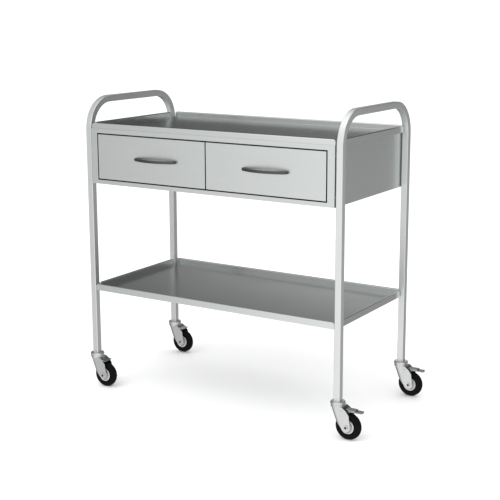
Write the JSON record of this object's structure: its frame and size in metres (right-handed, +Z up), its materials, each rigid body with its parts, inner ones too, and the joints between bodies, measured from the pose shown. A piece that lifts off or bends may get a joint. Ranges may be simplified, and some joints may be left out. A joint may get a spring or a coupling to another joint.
{
  "type": "instrument cart",
  "caption": "Wheeled instrument cart: rimmed top tray over a cabinet with side-by-side drawers, rimmed lower shelf, bent square-tube end frames as push handles, swivel casters.",
  "frame": {"origin": "floor level, at the middle in plan of the box round the whole cart; the middle of the four legs is 29.5 mm towards -X and 11.0 mm towards +Y of it", "axes": "+X along the cart towards the braked casters, +Y from the drawer side to the back, +Z up"},
  "size_m": [0.991, 0.496, 0.94],
  "materials": {
    "brushed_tube": "satin brushed stainless tube",
    "brushed_sheet": "brushed stainless sheet",
    "handle_metal": "dark satin metal",
    "zinc_plate": "bright zinc plate",
    "plain_steel": "plain steel",
    "runner_steel": "zinc-plated rolled steel",
    "tyre_rubber": "black rubber",
    "hub_plastic": "light grey moulded plastic",
    "plug_plastic": "black moulded plastic",
    "pedal_steel": "grey-brown plated steel"
  },
  "bodies": {
    "cart": {"left_side_frame": "brushed_tube", "right_side_frame": "brushed_tube", "leg_plugs": "plug_plastic", "top_tray": "brushed_sheet", "lower_shelf": "brushed_sheet", "shelf_stiffener": "brushed_sheet", "face_frame": "brushed_sheet", "left_cabinet_side": "brushed_sheet", "right_cabinet_side": "brushed_sheet", "cabinet_floor": "brushed_sheet", "cabinet_back": "brushed_sheet", "centre_divider": "brushed_sheet", "slide_packers": "runner_steel", "cabinet_spacers": "plain_steel", "cabinet_screws": "plain_steel", "caster_stems": "zinc_plate", "left_slide_fixed_members": "runner_steel", "right_slide_fixed_members": "runner_steel", "front_left_swivel_cap": "zinc_plate", "front_right_swivel_cap": "zinc_plate", "rear_left_swivel_cap": "zinc_plate", "rear_right_swivel_cap": "zinc_plate"},
    "left_drawer": {"left_drawer_front": "brushed_sheet", "left_drawer_box": "brushed_sheet", "left_drawer_handle": "handle_metal", "left_drawer_handle_screws": "plain_steel", "left_slide_drawer_members": "runner_steel"},
    "left_runner": {"left_slide_middle_members": "runner_steel"},
    "right_drawer": {"right_drawer_front": "brushed_sheet", "right_drawer_box": "brushed_sheet", "right_drawer_handle": "handle_metal", "right_drawer_handle_screws": "plain_steel", "right_slide_drawer_members": "runner_steel"},
    "right_runner": {"right_slide_middle_members": "runner_steel"},
    "front_left_caster": {"front_left_fork": "zinc_plate", "front_left_bearing_balls": "plain_steel", "front_left_axle_fasteners": "plain_steel"},
    "front_left_wheel": {"front_left_wheel_hub": "hub_plastic", "front_left_tyre": "tyre_rubber"},
    "front_right_caster": {"front_right_fork": "zinc_plate", "front_right_bearing_balls": "plain_steel", "front_right_axle_fasteners": "plain_steel", "front_right_pedal_pin": "plain_steel"},
    "front_right_wheel": {"front_right_wheel_hub": "hub_plastic", "front_right_tyre": "tyre_rubber"},
    "front_right_pedal": {"front_right_brake_pedal": "pedal_steel"},
    "rear_left_caster": {"rear_left_fork": "zinc_plate", "rear_left_bearing_balls": "plain_steel", "rear_left_axle_fasteners": "plain_steel"},
    "rear_left_wheel": {"rear_left_wheel_hub": "hub_plastic", "rear_left_tyre": "tyre_rubber"},
    "rear_right_caster": {"rear_right_fork": "zinc_plate", "rear_right_bearing_balls": "plain_steel", "rear_right_axle_fasteners": "plain_steel", "rear_right_pedal_pin": "plain_steel"},
    "rear_right_wheel": {"rear_right_wheel_hub": "hub_plastic", "rear_right_tyre": "tyre_rubber"},
    "rear_right_pedal": {"rear_right_brake_pedal": "pedal_steel"}
  },
  "joints": [
    {"name": "left_drawer_slide", "type": "slide", "parent": "cart", "child": "left_drawer", "axis": [0, -1, 0], "range_m": [0, 0.35]},
    {"name": "left_runner_slide", "type": "slide", "parent": "cart", "child": "left_runner", "axis": [0, -1, 0], "range_m": [0, 0.175]},
    {"name": "right_drawer_slide", "type": "slide", "parent": "cart", "child": "right_drawer", "axis": [0, -1, 0], "range_m": [0, 0.35]},
    {"name": "right_runner_slide", "type": "slide", "parent": "cart", "child": "right_runner", "axis": [0, -1, 0], "range_m": [0, 0.175]},
    {"name": "front_left_swivel", "type": "hinge", "parent": "cart", "child": "front_left_caster", "pos_m": [-0.4735, -0.20402, 0.096], "axis": [0, 0, 1], "continuous": true},
    {"name": "front_left_wheel_spin", "type": "hinge", "parent": "front_left_caster", "child": "front_left_wheel", "pos_m": [-0.4385, -0.20402, 0.04], "axis": [0, 1, 0], "continuous": true},
    {"name": "front_right_swivel", "type": "hinge", "parent": "cart", "child": "front_right_caster", "pos_m": [0.4145, -0.20402, 0.096], "axis": [0, 0, 1], "continuous": true},
    {"name": "front_right_wheel_spin", "type": "hinge", "parent": "front_right_caster", "child": "front_right_wheel", "pos_m": [0.4495, -0.20402, 0.04], "axis": [0, 1, 0], "continuous": true},
    {"name": "front_right_brake", "type": "hinge", "parent": "front_right_caster", "child": "front_right_pedal", "pos_m": [0.4345, -0.20402, 0.088], "axis": [0, 1, 0], "range_deg": [0, 8]},
    {"name": "rear_left_swivel", "type": "hinge", "parent": "cart", "child": "rear_left_caster", "pos_m": [-0.4735, 0.22598, 0.096], "axis": [0, 0, 1], "continuous": true},
    {"name": "rear_left_wheel_spin", "type": "hinge", "parent": "rear_left_caster", "child": "rear_left_wheel", "pos_m": [-0.4385, 0.22598, 0.04], "axis": [0, 1, 0], "continuous": true},
    {"name": "rear_right_swivel", "type": "hinge", "parent": "cart", "child": "rear_right_caster", "pos_m": [0.4145, 0.22598, 0.096], "axis": [0, 0, 1], "continuous": true},
    {"name": "rear_right_wheel_spin", "type": "hinge", "parent": "rear_right_caster", "child": "rear_right_wheel", "pos_m": [0.4495, 0.22598, 0.04], "axis": [0, 1, 0], "continuous": true},
    {"name": "rear_right_brake", "type": "hinge", "parent": "rear_right_caster", "child": "rear_right_pedal", "pos_m": [0.4345, 0.22598, 0.088], "axis": [0, 1, 0], "range_deg": [0, 8]}
  ],
  "couplings": [
    {"joint": "left_runner_slide", "follows": "left_drawer_slide", "ratio": 0.5},
    {"joint": "right_runner_slide", "follows": "right_drawer_slide", "ratio": 0.5}
  ]
}
